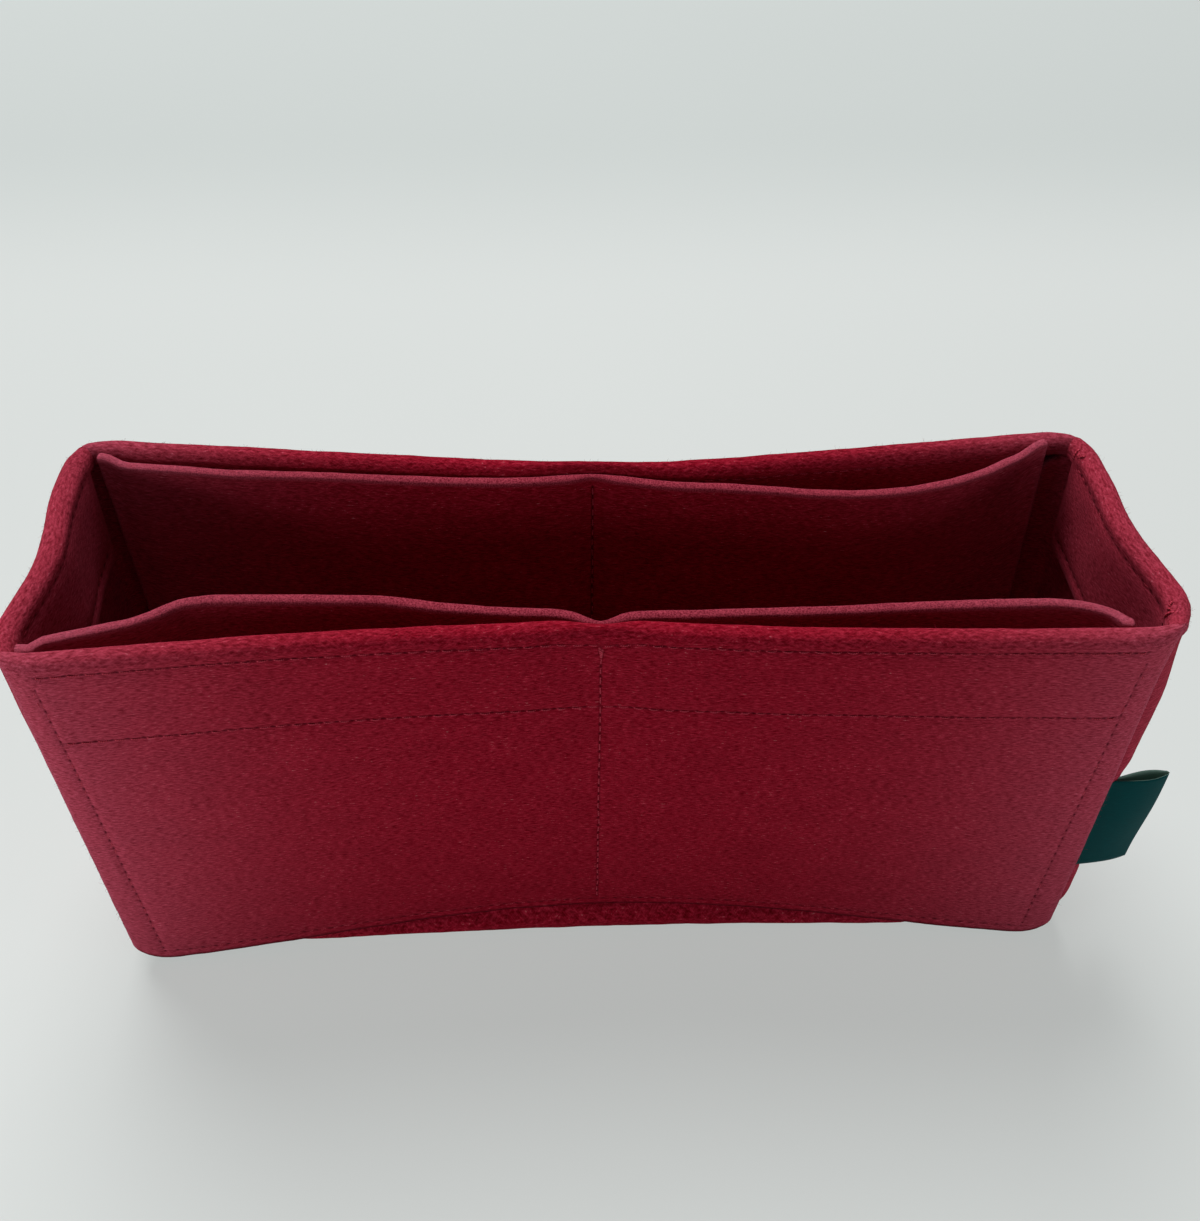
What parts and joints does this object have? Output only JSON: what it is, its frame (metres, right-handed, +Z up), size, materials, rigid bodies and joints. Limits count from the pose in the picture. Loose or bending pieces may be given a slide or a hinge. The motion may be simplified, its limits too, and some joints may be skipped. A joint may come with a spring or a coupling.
{
  "type": "purse organizer insert",
  "caption": "Soft open-topped felt box that stands inside a handbag and divides it, with sewn slip pockets along its inner long walls and a small ribbon tab.",
  "frame": {"origin": "middle of the base's underside, on the surface that the insert stands on", "axes": "+X along the long walls, with the ribbon tab at the +X end, +Y from the front wall to the back wall, +Z up out of the open top"},
  "size_m": [0.2686, 0.0804, 0.12],
  "materials": {
    "felt": "pressed crimson felt, matte and slightly hairy",
    "ribbon": "dark green satin ribbon",
    "thread": "polyester sewing thread, a little darker than the felt"
  },
  "bodies": {
    "insert_body": {"front_wall": "felt", "back_wall": "felt", "gusset": "felt", "front_rim_stitching": "thread", "front_hem_stitching": "thread", "front_edge_seam": "thread", "front_middle_seam": "thread", "back_rim_stitching": "thread", "back_hem_stitching": "thread", "back_edge_seam": "thread", "back_middle_seam": "thread", "left_rim_stitching": "thread", "left_hem_stitching": "thread", "right_rim_stitching": "thread", "right_hem_stitching": "thread"},
    "front_left_pocket": {"front_left_pocket": "felt"},
    "front_right_pocket": {"front_right_pocket": "felt"},
    "back_left_pocket": {"back_left_pocket": "felt"},
    "back_right_pocket": {"back_right_pocket": "felt"},
    "label": {"label": "ribbon"}
  },
  "joints": [
    {"name": "front_left_pocket_open", "type": "hinge", "parent": "insert_body", "child": "front_left_pocket", "pos_m": [-0.06, -0.025, 0.008], "axis": [-1, 0, 0], "range_deg": [0, 4], "stiffness_Nm_per_rad": 0.2, "springref_deg": -1.72},
    {"name": "front_right_pocket_open", "type": "hinge", "parent": "insert_body", "child": "front_right_pocket", "pos_m": [0.06, -0.025, 0.008], "axis": [-1, 0, 0], "range_deg": [0, 5], "stiffness_Nm_per_rad": 0.2, "springref_deg": -1.72},
    {"name": "back_left_pocket_open", "type": "hinge", "parent": "insert_body", "child": "back_left_pocket", "pos_m": [-0.06, 0.025, 0.008], "axis": [1, 0, 0], "range_deg": [0, 5], "stiffness_Nm_per_rad": 0.2, "springref_deg": -1.72},
    {"name": "back_right_pocket_open", "type": "hinge", "parent": "insert_body", "child": "back_right_pocket", "pos_m": [0.06, 0.025, 0.008], "axis": [1, 0, 0], "range_deg": [0, 3], "stiffness_Nm_per_rad": 0.2, "springref_deg": -1.72},
    {"name": "label_flap", "type": "hinge", "parent": "insert_body", "child": "label", "pos_m": [0.12622, -0.03517, 0.0505], "axis": [0.0113, -0.0292, 0.9995], "range_deg": [-70, 60], "stiffness_Nm_per_rad": 0.0001}
  ]
}
